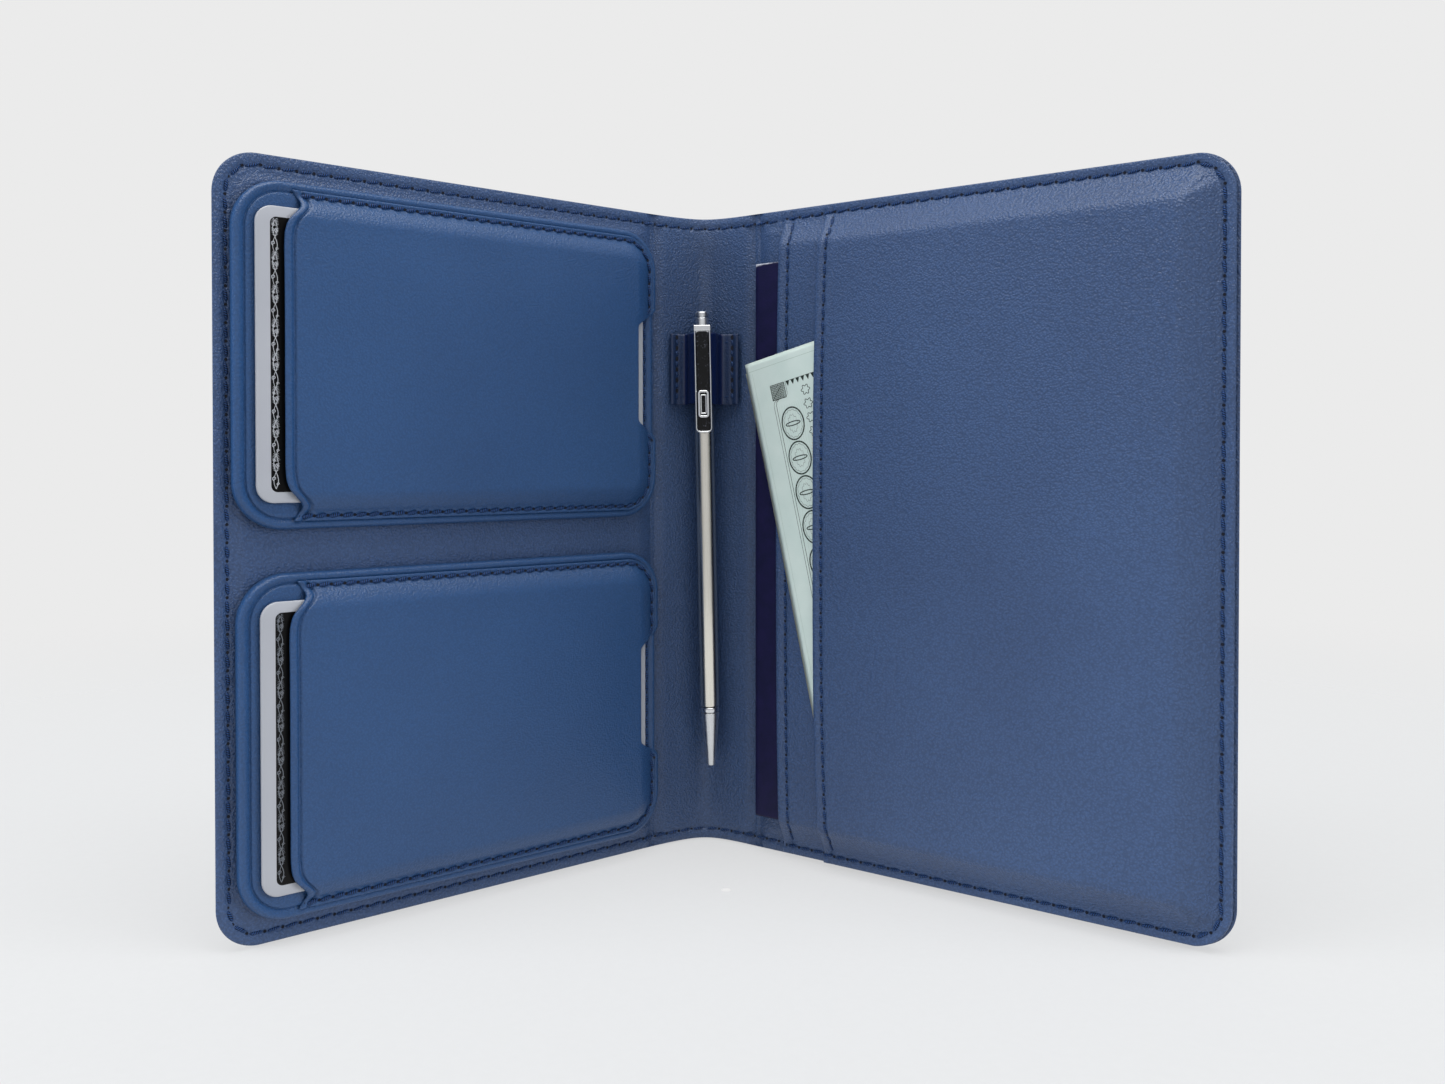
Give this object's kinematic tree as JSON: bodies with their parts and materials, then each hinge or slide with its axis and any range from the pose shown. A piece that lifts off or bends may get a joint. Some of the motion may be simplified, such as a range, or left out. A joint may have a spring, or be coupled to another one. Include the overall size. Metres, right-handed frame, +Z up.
{
  "type": "passport holder",
  "caption": "Folding travel wallet standing open in a V, with card holders, a pen in a loop, a passport pocket and a note pocket with their contents.",
  "frame": {"origin": "centre of the bounding box on the surface it stands on", "axes": "+Z up along the spine and hinge lines; +X across the open holder, from the card side to the passport side; +Y from the open mouth of the V back to the spine"},
  "size_m": [0.1864, 0.0718, 0.1455],
  "materials": {
    "skin": "navy faux leather, fine grain, soft sheen",
    "lining": "navy faux leather lining, fine grain",
    "board": "grey stiffening board, hidden",
    "thread": "dark navy polyester sewing thread",
    "card": "printed plastic card, light grey border",
    "passport": "dark plum-navy book cloth",
    "pages": "cream paper",
    "note": "pale grey-green printed paper",
    "chrome": "polished chrome plating",
    "barrel": "brushed warm silver metal",
    "inlay": "black marbled enamel",
    "refill": "plastic refill tube",
    "brass": "turned brass tip",
    "steel": "spring wire"
  },
  "bodies": {
    "spine": {"spine_outer": "skin", "spine_lining": "lining", "spine_thread_bottom": "thread", "spine_thread_top": "thread", "pen_loop": "skin", "pen_loop_thread_left": "thread", "pen_loop_thread_right": "thread"},
    "left_cover": {"left_cover_outer": "skin", "left_cover_board": "board", "left_cover_lining": "lining", "left_cover_thread": "thread", "upper_holder_base": "skin", "upper_holder_pocket": "skin", "upper_holder_thread": "thread", "lower_holder_base": "skin", "lower_holder_pocket": "skin", "lower_holder_thread": "thread"},
    "right_cover": {"right_cover_outer": "skin", "right_cover_board": "board", "right_cover_lining": "lining", "right_cover_thread": "thread", "passport_pocket": "lining", "note_pocket": "lining", "passport_pocket_thread": "thread", "note_pocket_thread": "thread"},
    "upper_card": {"upper_card": "card"},
    "lower_card": {"lower_card": "card"},
    "passport": {"passport_cover": "passport", "passport_pages": "pages"},
    "banknotes": {"banknote_back": "note", "banknote_front": "note"},
    "pen": {"pen_nose": "chrome", "pen_ring": "chrome", "pen_barrel": "barrel", "pen_collar": "chrome", "pen_clip": "chrome", "pen_clip_inlay": "inlay", "pen_clip_buckle": "chrome", "pen_spring": "steel"},
    "pen_click": {"pen_button": "chrome", "pen_refill": "refill", "pen_tip": "brass"}
  },
  "joints": [
    {"name": "left_cover_fold", "type": "hinge", "parent": "spine", "child": "left_cover", "pos_m": [-0.01612, 0.02725, 0], "axis": [0, 0, -1], "range_deg": [-50.5, 39.5]},
    {"name": "right_cover_fold", "type": "hinge", "parent": "spine", "child": "right_cover", "pos_m": [0.00648, 0.02725, 0], "axis": [0, 0, 1], "range_deg": [-54.1, 35.9]},
    {"name": "upper_card_slide", "type": "slide", "parent": "left_cover", "child": "upper_card", "axis": [-0.7716, -0.6361, 0], "range_m": [0, 0.08]},
    {"name": "lower_card_slide", "type": "slide", "parent": "left_cover", "child": "lower_card", "axis": [-0.7716, -0.6361, 0], "range_m": [0, 0.08]},
    {"name": "passport_slide", "type": "slide", "parent": "right_cover", "child": "passport", "axis": [-0.81, 0.5864, 0], "range_m": [-0.0075, 0.0015]},
    {"name": "banknote_slide", "type": "slide", "parent": "right_cover", "child": "banknotes", "axis": [-0.81, 0.5864, 0], "range_m": [-0.013, 0.003]},
    {"name": "pen_pull", "type": "slide", "parent": "spine", "child": "pen", "axis": [-0.0202, 0, 0.9998], "range_m": [0, 0.1]},
    {"name": "pen_click", "type": "slide", "parent": "pen", "child": "pen_click", "axis": [0.0202, 0, -0.9998], "range_m": [0, 0.003], "stiffness_N_per_m": 300, "springref_m": -0.002, "deforming": ["pen_spring"]}
  ]
}
